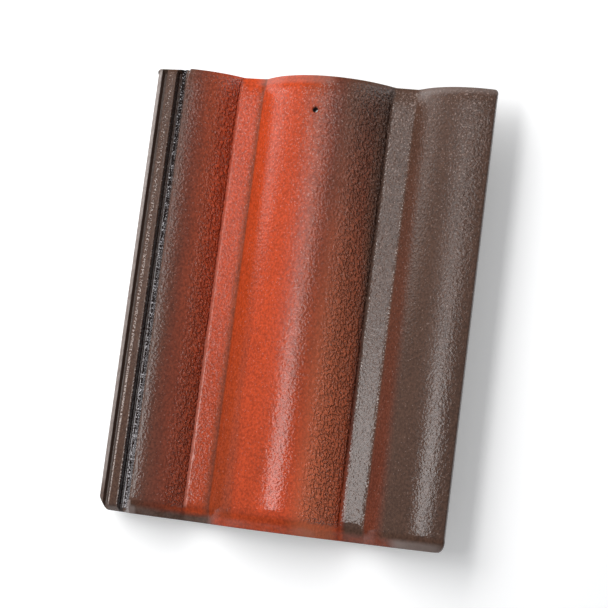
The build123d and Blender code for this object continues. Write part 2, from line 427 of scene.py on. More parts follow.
def weather_section(body_start):
    """Section of the weather face: the rounded lock, the rolls and channels, and the rounded edge. Places
    lie closer at a channel's roots and at the nail hole."""
    arris = (ARRIS_PLACE, rolls_at(ARRIS_PLACE), ARRIS_RADIUS)
    lock_end = (body_start, weather_at(body_start))
    lock = resampled(rounded((*LOCK_CORNERS, arris), (0.0, LIP_FOOT), lock_end), LOCK_STEP)
    edge_top = (tile_width, rolls_at(tile_width), EDGE_RADIUS)
    edge_start, edge_end = (EDGE_START, weather_at(EDGE_START)), (tile_width, edge_top[1] - EDGE_FACE)
    edge = resampled(rounded((edge_top,), edge_start, edge_end), EDGE_STEP)
    closer = [(root, ROOT_REACH, ROOT_STEP) for root in channel_roots]
    closer.append((HOLE_PLACE, HOLE_REACH * HOLE_STEP, HOLE_STEP))
    stops = [(body_start, FACE_STEP)]
    for middle, reach, step in sorted(closer):
        stops += [(middle - reach, step), (middle + reach, FACE_STEP)]
    places = lines(stops, EDGE_START)[1:-1]
    return np.concatenate([lock, np.stack([places, weather_at(places)], 1), edge])


def weather_rows():
    """Places of the weather face's rows, closer at the ends and at the nail hole."""
    near_end = np.array(END_ROWS)
    block = HOLE_REACH * HOLE_STEP
    stops = [
        (tail_line + END_ROWS_REACH, ROW_STEP),
        (tail_line + END_ZONE, ROW_STEP_MIDDLE),
        (hole_along - block, HOLE_STEP),
        (hole_along + block, ROW_STEP),
    ]
    middle = lines(stops, head_line - END_ROWS_REACH)
    return np.concatenate([tail_line + near_end, middle, head_line - near_end[::-1]])


def weather_grid():
    """Points of the weather face, rows along the tile by places across it: the section's height, less the
    bevels and the arris a - sqrt(a^2 - t^2) at the ends, and the relief laid on square to the section."""
    body_start = ARRIS_PLACE + ARRIS_REACH
    section, rows = weather_section(body_start), weather_rows()
    place, row = np.meshgrid(section[:, 0], rows)
    height = np.broadcast_to(section[:, 1], place.shape)
    place, along = pierced(place, follow_ends(place, row), HOLE_REACH)
    height = np.where((place > body_start) & (place < EDGE_START), weather_at(place), height)
    lowered = bevel(place, along, height)
    to_end = np.minimum(head_line - row, row - tail_line)
    rounding = END_ARRIS - np.sqrt(END_ARRIS**2 - np.clip(END_ARRIS - to_end, 0, END_ARRIS) ** 2)

    from_hole = np.hypot(place - HOLE_PLACE, along - hole_along)
    raised = relief(place, along, calm(place, lowered, from_hole, to_end)) + hole_relief(from_hole)
    slope_x, slope_z = np.gradient(section[:, 0]), np.gradient(section[:, 1])
    size = np.hypot(slope_x, slope_z)
    inward = (place > SIDE_KEPT) & (place < tile_width - SIDE_KEPT)
    place = place - np.where(inward, slope_z / size, 0) * raised
    height = height - lowered - rounding + slope_x / size * raised
    return np.stack([place, along, height], 2), hole_lines(rows, section[:, 0])


def drafted(outside):
    """1 inside of an edge and 0 outside of it, changing evenly within the draft on both sides."""
    return np.clip((DRAFT - outside) / (2 * DRAFT), 0, 1)


def underside_places():
    """Places across the underside: even ones, and those that the roots, ribs, bars, nibs and hole need."""
    block = HOLE_REACH_UNDER * HOLE_STEP
    cells_out = np.arange(-HOLE_REACH_UNDER, HOLE_REACH_UNDER + 1) * HOLE_STEP
    edges = [*BAR_SPAN] + [nib + side * NIB_HALF for nib in CHANNELS for side in (-1, 1)]
    edges = [edge + side * DRAFT for edge in edges for side in (-1, 1)]
    even = np.arange(0.0, tile_width, UNDER_STEP)
    even = even[np.abs(even - HOLE_PLACE) > block + UNDER_HOLE_GAPS[0]]
    ribs = [place for place, _ in EDGE_RIBS]
    round_root = np.arange(-2, 3) * UNDER_ROOT_STEP
    inward = 2 * UNDER_ROOT_STEP * np.sign(np.repeat(CHANNELS, 2) - channel_roots)
    roots = np.add.outer(channel_roots + inward, round_root).ravel()
    at_edge = tile_width - np.array(UNDER_EDGE_INSETS)
    every = [even, edges, ribs, roots, HOLE_PLACE + cells_out, UNDER_LOCK_PLACES, at_edge]
    places = apart(np.concatenate(every))
    places[-1] = tile_width
    return places


def underside_rows(hook):
    """Places of the underside's rows: the ends, even ones, and those that the bars, nibs and hole need."""
    block = HOLE_REACH_UNDER * HOLE_STEP
    cells_out = np.arange(-HOLE_REACH_UNDER, HOLE_REACH_UNDER + 1) * HOLE_STEP
    bar_edges = [tail_line + edge + side * DRAFT for bar in BARS for edge in bar for side in (-1, 1)]
    nib_edges = [hook - DRAFT, hook + DRAFT, hook + NIB_END, hook + NIB_END + NIB_BACK]
    even = np.arange(tail_line + UNDER_END_GAPS[0], head_line - UNDER_END_GAPS[1], UNDER_ROW_STEP)
    even = even[np.abs(even - hole_along) > block + UNDER_HOLE_GAPS[1]]
    every = [(tail_line, head_line), even, bar_edges, nib_edges, hole_along + cells_out]
    return apart(np.concatenate(every))


def underside_grid():
    """Points of the underside, rows along the tile by places across it. At a bar the height is the weather
    face's less the pan's height, and at a nib it is the floor's, sloping up behind the hook."""
    hook = head_line - NIB_HOOK
    places, rows = underside_places(), underside_rows(hook)
    place, row = np.meshgrid(places, rows)
    along = follow_ends(place, row)
    height = underside_at(place)
    for start, end in BARS:
        across = drafted(np.maximum(BAR_SPAN[0] - place, place - BAR_SPAN[1]))
        share = across * drafted(np.maximum(tail_line + start - row, row - tail_line - end))
        height = height + share * (weather_at(place) - pan_height - height)
    for nib in CHANNELS:
        share = drafted(np.abs(place - nib) - NIB_HALF) * drafted(hook - row)
        foot = -pan_height + np.maximum(0, row - hook - NIB_END) * NIB_SLOPE
        height = height + share * (np.minimum(foot, height) - height)
    place, along = pierced(place, along, HOLE_REACH_UNDER)
    return np.stack([place, along, height], 2), hole_lines(rows, places)


# Mesh

def cells(index, hole):
    """Quads of a grid of vertex numbers, counter-clockwise seen from above, without the hole's cells."""
    quads = np.stack([index[:-1, :-1], index[:-1, 1:], index[1:, 1:], index[1:, :-1]], 2)
    rows, columns = hole
    keep = ~((rows[:-1] & rows[1:])[:, None] & (columns[:-1] & columns[1:])[None, :])
    return quads[keep]


def loop_round(index, rows, columns):
    """Vertex numbers round the block of rows and columns, counter-clockwise from its first corner."""
    block = index[np.ix_(rows, columns)]
    return np.concatenate([block[0, :-1], block[:-1, -1], block[-1, :0:-1], block[:0:-1, 0]])


def zipper(upper, lower, upper_at, lower_at):
    """Triangles between two chains of vertices that run the same way: each edge of one chain joins the
    vertex of the other that lies before its middle, found by a sorted search."""
    upper_mid, lower_mid = (upper_at[1:] + upper_at[:-1]) / 2, (lower_at[1:] + lower_at[:-1]) / 2
    to_lower = np.searchsorted(lower_mid, upper_mid, side="left")
    to_upper = np.searchsorted(upper_mid, lower_mid, side="right")
    hung = np.stack([upper[1:], upper[:-1], lower[to_lower]], 1)
    stood = np.stack([lower[:-1], lower[1:], upper[to_upper]], 1)
    return np.concatenate([hung, stood])


def outer_walls(top_index, bottom_index, points):
    """Triangles of the four outer walls, between the rims of the weather face and the underside."""
    walls = []
    for top_chain, bottom_chain, axis in (
        (top_index[0], bottom_index[0], 0),
        (top_index[:, -1], bottom_index[:, -1], 1),
        (top_index[-1, ::-1], bottom_index[-1, ::-1], 0),
        (top_index[::-1, 0], bottom_index[::-1, 0], 1),
    ):
        upper_at, lower_at = points[top_chain, axis], points[bottom_chain, axis]
        sign = 1 if upper_at[-1] > upper_at[0] else -1
        walls.append(zipper(top_chain, bottom_chain, sign * upper_at, sign * lower_at))
    return walls


def tile_mesh():
    """The whole tile as one closed mesh: weather face, underside, the four walls and the nail hole's wall,
    a ring of quads between the holes of the two grids."""
    top, top_hole = weather_grid()
    bottom, bottom_hole = underside_grid()
    top_index = np.arange(top[..., 0].size).reshape(top.shape[:2])
    bottom_index = top_index.size + np.arange(bottom[..., 0].size).reshape(bottom.shape[:2])
    points = np.concatenate([top.reshape(-1, 3), bottom.reshape(-1, 3)])

    face, underside = cells(top_index, top_hole), cells(bottom_index, bottom_hole)[:, ::-1]
    top_ring, bottom_ring = loop_round(top_index, *top_hole), loop_round(bottom_index, *bottom_hole)
    hole_wall = np.stack([top_ring, np.roll(top_ring, -1), np.roll(bottom_ring, -1), bottom_ring], 1)
    faces = [face, underside, *outer_walls(top_index, bottom_index, points), hole_wall]

    used = np.zeros(len(points), bool)
    for group in faces:
        used[group.ravel()] = True
    renumber = np.cumsum(used) - 1
    row_frame = (points[used] + np.array([-tile_width / 2, 0, pan_height])) * MM
    corners = [face_corners for group in faces for face_corners in renumber[group].tolist()]
    mesh = bpy.data.meshes.new("roof_tile_dressed")
    mesh.from_pydata(row_frame.tolist(), [], corners)
    slots = np.full(len(mesh.polygons), MATERIAL_SLOTS["face"], np.int32)
    slots[len(face):len(face) + len(underside)] = MATERIAL_SLOTS["underside"]
    slots[-len(hole_wall):] = MATERIAL_SLOTS["hole"]
    mesh.polygons.foreach_set("material_index", slots)
    mesh.polygons.foreach_set("use_smooth", np.ones(len(mesh.polygons), bool))
    mesh.validate()
    mesh.set_sharp_from_angle(angle=np.radians(SHARP_ANGLE))
    return mesh


# Materials

class Nodes:
    """A material's node tree, with short calls for its nodes. A value is a number, a colour or a place, or
    another node's socket."""

    def __init__(self, name):
        self.material = bpy.data.materials.new(name)
        self.material.use_nodes = True
        self.tree = self.material.node_tree
        self.shader = self.tree.nodes["Principled BSDF"]

    def give(self, socket, value):
        """Links another node's socket to this one, or sets this one's own value."""
        if isinstance(value, bpy.types.NodeSocket):
            self.tree.links.new(value, socket)
        else:
            socket.default_value = value

    def add(self, kind, inputs=(), **settings):
        """A node with its settings and the values of its inputs."""
        node = self.tree.nodes.new(kind)
        for name, value in settings.items():
            setattr(node, name, value)
        for name, value in dict(inputs).items():
            self.give(node.inputs[name], value)
        return node

    def math(self, operation, *values, clamp=False):
        """The result of one operation on values."""
        node = self.add("ShaderNodeMath", operation=operation, use_clamp=clamp)
        for socket, value in zip(node.inputs, values):
            self.give(socket, value)
        return node.outputs[0]

    def chain(self, operation, values):
        """The result of an operation on the first two values, then on that and the third, and so on."""
        result = values[0]
        for value in values[1:]:
            result = self.math(operation, result, value)
        return result

    def times(self, *values):
        """The product of the values."""
        return self.chain("MULTIPLY", values)

    def strongest(self, *values):
        """The largest of the values."""
        return self.chain("MAXIMUM", values)

    def ramp(self, value, start, end, low=0.0, high=1.0):
        """The value's smooth step s^2(3-2s) from start to end, as low to high."""
        node = self.add(
            "ShaderNodeMapRange",
            {"Value": value, "From Min": start, "From Max": end, "To Min": low, "To Max": high},
            interpolation_type="SMOOTHSTEP",
        )
        return node.outputs["Result"]

    def between(self, value, rise, fall):
        """1 between two smooth steps, a rise and a fall, each given as its places of 0 and of 1."""
        return self.times(self.ramp(value, *rise), self.ramp(value, *fall))

    def within(self, value, start, end, soft):
        """1 from start to end, with soft edges outside of them."""
        return self.between(value, (start - soft, start), (end + soft, end))

    def curve(self, value, stops):
        """Colour that changes evenly from stop to stop, each a position from 0 to 1 and a colour."""
        node = self.add("ShaderNodeValToRGB", {"Fac": value})
        elements = node.color_ramp.elements
        for element, (position, colour) in zip(elements, (stops[0], stops[-1])):
            element.position, element.color = position, colour
        for position, colour in stops[1:-1]:
            elements.new(position).color = colour
        return node.outputs["Color"]

    def mix(self, share, first, second, kind="Color"):
        """The first turned into the second by a share. The kind is Color, or Float for numbers."""
        node = self.add("ShaderNodeMix", data_type={"Color": "RGBA", "Float": "FLOAT"}[kind])
        for name, value in (("Factor_Float", share), ("A_" + kind, first), ("B_" + kind, second)):
            self.give(next(s for s in node.inputs if s.identifier == name), value)
        return next(s for s in node.outputs if s.identifier == "Result_" + kind)

    def places(self, stretch=(1.0, 1.0, 1.0), turn=0.0):
        """Object coordinates in millimetres, turned level by degrees and divided by a stretch for each
        direction."""
        coordinates = self.add("ShaderNodeTexCoord").outputs["Object"]
        if turn:
            turned = self.add("ShaderNodeVectorRotate", {"Vector": coordinates}, rotation_type="Z_AXIS")
            turned.inputs["Angle"].default_value = float(np.radians(turn))
            coordinates = turned.outputs["Vector"]
        node = self.add("ShaderNodeVectorMath", operation="MULTIPLY")
        self.give(node.inputs[0], coordinates)
        self.give(node.inputs[1], tuple(1 / (MM * s) for s in stretch))
        return node.outputs[0]

    def noise(self, size, stretch=(1.0, 1.0, 1.0), detail=2.0, roughness=0.5, distortion=0.0, turn=0.0):
        """Noise whose blotches are about a size in millimetres."""
        node = self.add("ShaderNodeTexNoise", {
            "Vector": self.places(stretch, turn), "Scale": 1 / size, "Detail": detail,
            "Roughness": roughness, "Distortion": distortion,
        })
        return node.outputs[0]

    def bump(self, height, distance, strength=1.0):
        """Normal of a surface that a height raises by a distance in millimetres."""
        node = self.add("ShaderNodeBump", {"Strength": strength, "Distance": distance * MM, "Height": height})
        return node.outputs["Normal"]


class CoatNodes(Nodes):
    """Node tree of the coat, with the place across from the left edge, the place along from the middle, and
    the share of the length, from 0 at the tail's corner line to 1 at the head's."""

    def __init__(self, name):
        super().__init__(name)
        split = self.add("ShaderNodeSeparateXYZ", {"Vector": self.places()})
        self.across = self.math("ADD", split.outputs["X"], tile_width / 2)
        self.along = split.outputs["Y"]
        length = head_line - tail_line
        self.along_share = self.math("MULTIPLY_ADD", self.along, 1 / length, -tail_line / length)

    def between_ends(self, at_head, at_tail, power=None):
        """A value that changes evenly from the tail to the head, or with a power of the share."""
        share = self.math("POWER", self.along_share, power, clamp=True) if power else self.along_share
        return self.math("MULTIPLY_ADD", share, at_head - at_tail, at_tail)

    def past_tail(self, start, end, low=0.0, high=1.0):
        """Smooth step between two distances from the tail's corner line."""
        return self.ramp(self.along, tail_line + start, tail_line + end, low, high)

    def band(self, at_head, at_tail, soft):
        """1 in a band whose left and right sides change evenly from the head's places to the tail's."""
        left, right = (self.between_ends(*side) for side in zip(at_head, at_tail))
        rise = self.ramp(self.math("SUBTRACT", self.across, left), -soft, 0.0)
        return self.times(rise, self.ramp(self.math("SUBTRACT", self.across, right), soft, 0.0))

    def across_curve(self, points, most):
        """Value that changes evenly from point to point across the tile, each a place and a value."""
        stops = [(place / tile_width, (*(value / most,) * 3, 1.0)) for place, value in points]
        return self.times(self.curve(self.math("DIVIDE", self.across, tile_width), stops), most)


# Flame of the coat, from no heat to full heat
UMBER = srgb(82, 59, 48)
RUST = srgb(110, 54, 38)
EMBER = srgb(148, 62, 34)
FLAME = srgb(168, 62, 28)
ORANGE = srgb(192, 70, 34)
HEAT_COLOURS = ((0.0, UMBER), (0.27, RUST), (0.62, EMBER), (0.8, FLAME), (1.0, ORANGE))

# Streaks of the flame: left edge at head and tail, right edge at head and tail, softness of the left and
# the right edge, heat at head and tail. Edges are places across the tile.
STREAKS = {
    "left_roll_rust": ((55, 62), (104, 103), 30, 8, 0.94, 0.74),
    "flank_flame": ((104, 104), (142, 150), 3, 14, 1.0, 0.62),
    "crest_flame": ((114, 126), (171, 200), 10, 36, 0.95, 0.86),
    "right_flank_spill": ((152, 150), (218, 231), 12, 5, 0.0, 1.04),
    "right_streak": ((252, 252), (264, 270), 2, 7, 0.0, 0.24),
}
TAIL_BEVEL_STREAKS = {
    # left edge, right edge, softness, heat
    "orange_cut": (108, 234, 8, 0.80),
    "rust_cut": (226, 284, 10, 0.34),
}
TAIL_CUT_RUN = (2.5, 9.0)         # where the face's colours give way to the bevel's
TAIL_CUT_MORE = 7.0               # how much sooner they do so under the flame
TAIL_CUT_FLAME = (150.0, 190.0, 20.0)         # from, to, softness
DRIFT_REACH = 12.0                # how far slow drifts carry the streaks' edges across the tile
WISP_REACH = 7.0                  # the same for fine wisps
FLAME_FREE = ((104.0, 116.0), (232.0, 220.0)) # rise and fall of the zone where the edges may wander
LEFT_FREE = (92.0, 84.0)          # where they may wander again, to the left
NOISE_SPAN = (0.3, 0.7)           # most of a noise's values lie in it
MOTTLE_TONE = (0.74, 1.26)
CLOUD_TONE = (-0.05, 0.05)
BASE_ROUGHNESS = (0.5, 0.68)
COAT_ON_CUTS = 0.4

# Painted highlights, painted shade and the lock's colours. Painted highlight lines along the arrises: place
# and half width at the head, the same at the tail, share of the line that is light at the head and at the
# tail
ARRIS_GLINT_LINES = {
    "rib_left_arris": ((14.6, 2.2), (10.5, 0.7), 0.26, 0.80),
    "rib_right_arris": ((19.2, 0.4), (19.0, 0.45), 0.1, 0.55),
    "bank_arris": ((33.0, 0.9), (35.9, 0.7), 0.36, 0.36),
    "right_channel_left_root": ((230.8, 0.9), (231.2, 1.1), 0.25, 0.3),
    "right_channel_right_root": ((250.6, 0.8), (250.7, 1.0), 0.36, 0.40),
}
ARRIS_GLINT_EDGE = (1.3, 0.5)            # in half widths: where a line is gone, and where it is full
# pale colour of the painted highlight lines
ARRIS_GLINT = srgb(176, 162, 155)
DOTS_NONE = 0.72                  # noise over this is a dot when the share of dots is 0
DOTS_FALL = 0.36                  # how much lower it is when the share is 1
DOT_EDGE = (-0.04, 0.05)
LIP = (-1.0, 4.0, 0.5)            # from, to, softness
LIP_STREAKS = (0.55, 1.0)         # least and most painted sheen in the lip's streaks
LIP_SHEEN_RUN = (12.0, 40.0, 0.25, 1.0)           # from and to past the tail, and the share of sheen that stays there
# painted sheen on the lip
LIP_SHEEN = srgb(152, 141, 136)
GUTTER = (4.6, 9.4, 0.5)
GUTTER_DUST = 0.7
DUSTY_GUTTER = srgb(90, 74, 66)
GROOVE_SPAN = ((20.0, 22.2), (19.6, 23.4), 0.5)  # at the head and at the tail, softness
GROOVE_SHARE = (0.45, 0.95)
# painted shade deep in the groove
GROOVE_SHADE = srgb(30, 20, 20)
BANK_SPAN = ((23.2, 29.4), (24.4, 34.2), 1.0)
BANK_END = (2.5, 5.0)             # the bank's colours start this far past the tail
BANK_GLINT_SHARE = (0.27, 0.50)         # share of painted silvery glints at the head and at the tail
BANK_COVER = 0.94
# painted dark shade on the bank, under painted silvery glints
BANK_SHADE = srgb(34, 29, 28)
SILVER_GLINT = srgb(212, 208, 211)
# painted highlight, broken, along the bank's foot
BANK_FOOT_LINE = (22.5, 23.1, 0.4)
BANK_FOOT_BREAKS = (0.38, 0.5)
BANK_FOOT_END = (3.0, 5.0)
BANK_FOOT_HIGHLIGHT = srgb(196, 192, 194)
# a painted pink highlight along the left channel's edge
CHANNEL_EDGE = (81.3, 1.2, 0.5)   # place, half width, softness
CHANNEL_EDGE_SHARE = (0.12, 0.50)
CHANNEL_EDGE_BREAKS = (0.3, 0.6, 0.5, 1.0)    # from and to of the noise, and the gleam's share there
CHANNEL_EDGE_HIGHLIGHT = srgb(216, 140, 122)
DRAB_FLANK = ((180.0, 206.0), (230.0, 222.0)) # rise and fall
DRAB_SHARE = (0.05, 0.6)
DRAB = srgb(190, 112, 78)

# Pale bloom on the bevels, and painted highlights on the tail's bevel. Zones are from, to, softness.
BLOOM_AND_HIGHLIGHT = srgb(156, 142, 137)
BLOOM_PATCHES = (0.35, 0.65, 0.04, 0.16)      # from and to of the noise, and the bloom there
# painted highlights on the tail's bevel at its right end and by the lock
TAIL_END_HIGHLIGHT = (290.0, 322.0, 14.0)
TAIL_LOCK_HIGHLIGHT = (30.0, 39.0, 3.0)
TAIL_HIGHLIGHT_MORE = 0.42
TAIL_BLOOM_RUN = (9.0, 4.0)
# a painted highlight spot on the tail's bevel by the lock
TAIL_HIGHLIGHT_ACROSS = (31.5, 36.0, 1.5)
TAIL_HIGHLIGHT_ALONG = (6.0, 11.0, 1.5)
TAIL_HIGHLIGHT_SPOT = 0.7
HEAD_BLOOM_MIDDLE = (102.0, 172.0, 10.0)
HEAD_BLOOM_RIGHT = (252.0, 264.0)
HEAD_BLOOM_RUN = (-8.0, -3.0)
HEAD_BLOOM = 0.2

# Share of the coat with painted glints across the tile, at the head: place, share
GLINTS = (
    (0.0, 0.0), (34.0, 0.1), (40.0, 0.30), (60.0, 0.2), (78.0, 0.25), (84.0, 0.45), (102.0, 0.45),
    (106.0, 0.05), (120.0, 0.45), (136.0, 0.50), (146.0, 0.35), (160.0, 0.60), (176.0, 0.55), (190.0, 0.25),
    (212.0, 0.30), (228.0, 0.42), (232.0, 0.60), (250.0, 0.55), (256.0, 0.45), (270.0, 0.45), (286.0, 0.25),
    (304.0, 0.60), (318.0, 0.35), (331.0, 0.2),
)
GLINT_ENDS = (0.62, 0.08, 2.2)    # times the share above at head and tail, and the power between them
GLINT_COLOUR = srgb(232, 204, 192)
GLINT_STRENGTH = 0.2

# Height of the sandy grain across the tile, in millimetres: place, height
GRAIN = (
    (0.0, 0.25), (4.0, 0.25), (8.0, 0.45), (20.0, 0.45), (24.0, 0.9), (34.0, 0.9), (37.0, 0.6), (52.0, 0.5),
    (66.0, 0.6), (80.0, 0.7), (82.0, 0.5), (103.0, 0.5), (105.0, 0.2), (114.0, 0.3), (124.0, 0.3),
    (138.0, 0.42), (152.0, 0.55), (180.0, 0.55), (200.0, 0.75), (214.0, 0.95), (228.0, 1.0), (230.0, 0.45),
    (251.0, 0.45), (254.0, 0.35), (280.0, 0.5), (331.0, 0.6),
)
GRAIN_MOST = 1.0
GRAIN_UNDER_COAT = 1.7            # how much steeper the sand lies than the coat that levels it
GRAIN_ENDS = (1.65, 0.58, 2.6)    # how many times as high at head and tail, and the power between them
GRAIN_ON_CUTS = 0.12              # share of it that is left on the knife-cut bevels
LEATHER_FLANKS = (((56.0, 82.0), (80.4, 79.0)), ((190.0, 216.0), (228.4, 226.8)))  # rise and fall of each
LEATHER_HEIGHT = 1.4
CREASE_EDGES = (0.36, 0.60)
CREASE_TURN = -28.0               # degrees between the creases and the tile's length
CREASE_SHADE = 0.24                     # painted shade: how much darker the bottom of a crease is

# Knife-cut bevels, as seen in the coat
HEAD_CUT_WIDE = (92.0, 160.0, 14.0)
HEAD_CUT_START = 4.5              # before the head's corner line
HEAD_CUT_SOONER = 8.0             # how much sooner it starts where it is wide
HEAD_CUT_SOFT = 6.0
BANK_TO_LOCK = (34.0, 25.0)
TAIL_CUT_END = 11.5               # past the tail's corner line
TAIL_CUT_LESS = 6.5               # how much less on the lock
TAIL_CUT_SOFT = (-2.5, 1.5)


def flame_heat(n, across):
    """How far the coat has turned from umber to orange: the strongest of the streaks, and on the tail's
    bevel the strongest of its own."""
    on_face = []
    for left, right, soft_left, soft_right, at_head, at_tail in STREAKS.values():
        from_left = n.math("SUBTRACT", across, n.between_ends(*left))
        to_right = n.math("SUBTRACT", n.between_ends(*right), across)
        rise, fall = n.ramp(from_left, -soft_left, soft_left), n.ramp(to_right, -soft_right, soft_right)
        on_face.append(n.times(rise, fall, n.between_ends(at_head, at_tail)))
    on_bevel = []
    for left, right, soft, heat in TAIL_BEVEL_STREAKS.values():
        streak = n.between(across, (left - soft, left + soft), (right + soft, right - soft))
        on_bevel.append(n.times(streak, heat))
    sooner = n.times(n.within(across, *TAIL_CUT_FLAME), TAIL_CUT_MORE)
    cut_full, cut_start = (tail_line + run for run in TAIL_CUT_RUN)
    cut = n.ramp(n.math("SUBTRACT", n.along, sooner), cut_start, cut_full)
    return n.mix(cut, n.strongest(*on_face), n.strongest(*on_bevel), "Float")


def wandered(n):
    """The place across the tile, moved by drifts and wisps of noise where the flame's edges may wander."""
    drift, wisps = n.noise(26, stretch=(1, 8, 1)), n.noise(5, stretch=(1, 9, 1), detail=3)
    warp = n.math("MULTIPLY_ADD", drift, DRIFT_REACH, -DRIFT_REACH / 2)
    warp = n.math("ADD", warp, n.math("MULTIPLY_ADD", wisps, WISP_REACH, -WISP_REACH / 2))
    rise, fall = (n.ramp(n.across, *edge) for edge in FLAME_FREE)
    free = n.strongest(n.math("MINIMUM", rise, fall), n.ramp(n.across, *LEFT_FREE))
    return n.math("ADD", n.across, n.times(warp, free))


def dots(n, noise, share):
    """Spots where noise is over a threshold that falls as the wanted share of them grows."""
    threshold = n.math("MULTIPLY_ADD", share, -DOTS_FALL, DOTS_NONE)
    return n.ramp(n.math("SUBTRACT", noise, threshold), *DOT_EDGE)


def arris_glint_share(n):
    """Share of painted highlight along the arrises: near each line, broken into dots by noise."""
    noise = n.noise(1.5, stretch=(1, 1.1, 1), roughness=0.6)
    arris_glints = []
    for (head_place, head_half), (tail_place, tail_half), at_head, at_tail in ARRIS_GLINT_LINES.values():
        from_line = n.math("SUBTRACT", n.across, n.between_ends(head_place, tail_place))
        half = n.between_ends(head_half, tail_half)
        near = n.ramp(n.math("DIVIDE", n.math("ABSOLUTE", from_line), half), *ARRIS_GLINT_EDGE)
        arris_glints.append(n.times(near, dots(n, noise, n.between_ends(at_head, at_tail))))
    return n.strongest(*arris_glints)


def lock_colours(n, colour):
    """Painted sheen in streaks on the lip, a dusty gutter, painted shade in the groove, painted glints as
    silvery specks on painted dark shade on the bank, and a broken painted highlight along its foot."""
    # painted sheen on the lip, in streaks along the tile
    streaks = n.ramp(n.noise(1.1, stretch=(1, 6, 1)), *NOISE_SPAN, *LIP_STREAKS)
    lip = n.times(n.within(n.across, *LIP), streaks, n.past_tail(*LIP_SHEEN_RUN))
    colour = n.mix(lip, colour, LIP_SHEEN)
    colour = n.mix(n.times(n.within(n.across, *GUTTER), GUTTER_DUST), colour, DUSTY_GUTTER)
    # painted shade in the groove
    groove = n.times(n.band(*GROOVE_SPAN), n.between_ends(*GROOVE_SHARE))
    colour = n.mix(groove, colour, GROOVE_SHADE)
    # painted dark shade on the bank, with painted silvery glints as specks
    on_bank = n.times(n.band(*BANK_SPAN), n.past_tail(*BANK_END))
    specks = dots(n, n.noise(1.8, stretch=(1, 1, 1.6), roughness=0.55), n.between_ends(*BANK_GLINT_SHARE))
    colour = n.mix(n.times(on_bank, BANK_COVER), colour, BANK_SHADE)
    colour = n.mix(n.times(on_bank, specks), colour, SILVER_GLINT)
    # broken painted highlight along the bank's foot
    broken = n.ramp(n.noise(1.6, stretch=(1, 1.3, 1), roughness=0.6), *BANK_FOOT_BREAKS)
    foot = n.times(n.within(n.across, *BANK_FOOT_LINE), n.between_ends(0.0, 1.0), broken)
    return n.mix(n.times(foot, n.past_tail(*BANK_FOOT_END)), colour, BANK_FOOT_HIGHLIGHT)


def flank_colours(n, colour, on_face):
    """A painted pink highlight along the left channel's edge, and a drab tint on the middle roll's right
    flank.
    """
    drab = n.times(n.between(n.across, *DRAB_FLANK), n.between_ends(*DRAB_SHARE))
    colour = n.mix(drab, colour, DRAB)
    # painted highlight along the left channel's edge, broken by noise
    place, half, soft = CHANNEL_EDGE
    broken = n.ramp(n.noise(9.0, stretch=(1, 2, 1)), *CHANNEL_EDGE_BREAKS)
    edge = n.times(n.within(n.across, place - half, place + half, soft), broken, on_face)
    return n.mix(n.times(edge, n.between_ends(*CHANNEL_EDGE_SHARE)), colour, CHANNEL_EDGE_HIGHLIGHT)


def bevel_bloom_and_highlights(n, colour):
    """A pale bloom on the bevels, faint and in patches, and painted highlights on the tail's bevel at its
    right end and by the lock.
    """
    patches = n.ramp(n.noise(9.0, stretch=(2.5, 1, 1), detail=3.0, roughness=0.6), *BLOOM_PATCHES)
    # painted highlights at the tail's right end and by the lock
    ends = n.strongest(n.within(n.across, *TAIL_END_HIGHLIGHT), n.within(n.across, *TAIL_LOCK_HIGHLIGHT))
    tail = n.times(n.math("MULTIPLY_ADD", ends, TAIL_HIGHLIGHT_MORE, patches), n.past_tail(*TAIL_BLOOM_RUN))
    # painted highlight spot by the lock
    spot_start, spot_end, spot_soft = TAIL_HIGHLIGHT_ALONG
    spot_along = n.within(n.along, tail_line + spot_start, tail_line + spot_end, spot_soft)
    spot = n.times(n.within(n.across, *TAIL_HIGHLIGHT_ACROSS), spot_along, TAIL_HIGHLIGHT_SPOT)
    where = n.strongest(n.within(n.across, *HEAD_BLOOM_MIDDLE), n.ramp(n.across, *HEAD_BLOOM_RIGHT))
    head_start, head_full = (head_line + run for run in HEAD_BLOOM_RUN)
    head = n.times(n.ramp(n.along, head_start, head_full), where, HEAD_BLOOM)
    return n.mix(n.strongest(tail, spot, head), colour, BLOOM_AND_HIGHLIGHT)


def painted_glints(n, colour, on_face):
    """Painted glints: light dots that stand in for the gloss's sparkle, more of them towards the head."""
    share = n.times(n.across_curve(GLINTS, 1.0), n.between_ends(*GLINT_ENDS))
    # painted glints as light dots
    spots = dots(n, n.noise(1.5, stretch=(1, 1.15, 1), detail=1.5), share)
    return n.mix(n.times(spots, GLINT_STRENGTH, on_face), colour, GLINT_COLOUR)


def face_share(n):
    """1 on the weather face and 0 on the knife-cut bevels. The head's is wide only under the flame."""
    wide = n.within(n.across, *HEAD_CUT_WIDE)
    head_start = n.math("MULTIPLY_ADD", wide, -HEAD_CUT_SOONER, head_line - HEAD_CUT_START)
    head_cut = n.ramp(n.math("SUBTRACT", n.along, head_start), 0.0, HEAD_CUT_SOFT)
    over_lock = n.ramp(n.across, *BANK_TO_LOCK)
    tail_end = n.math("MULTIPLY_ADD", over_lock, -TAIL_CUT_LESS, tail_line + TAIL_CUT_END)
    tail_cut = n.ramp(n.math("SUBTRACT", tail_end, n.along), *TAIL_CUT_SOFT)
    return n.math("SUBTRACT", 1.0, n.strongest(head_cut, tail_cut))


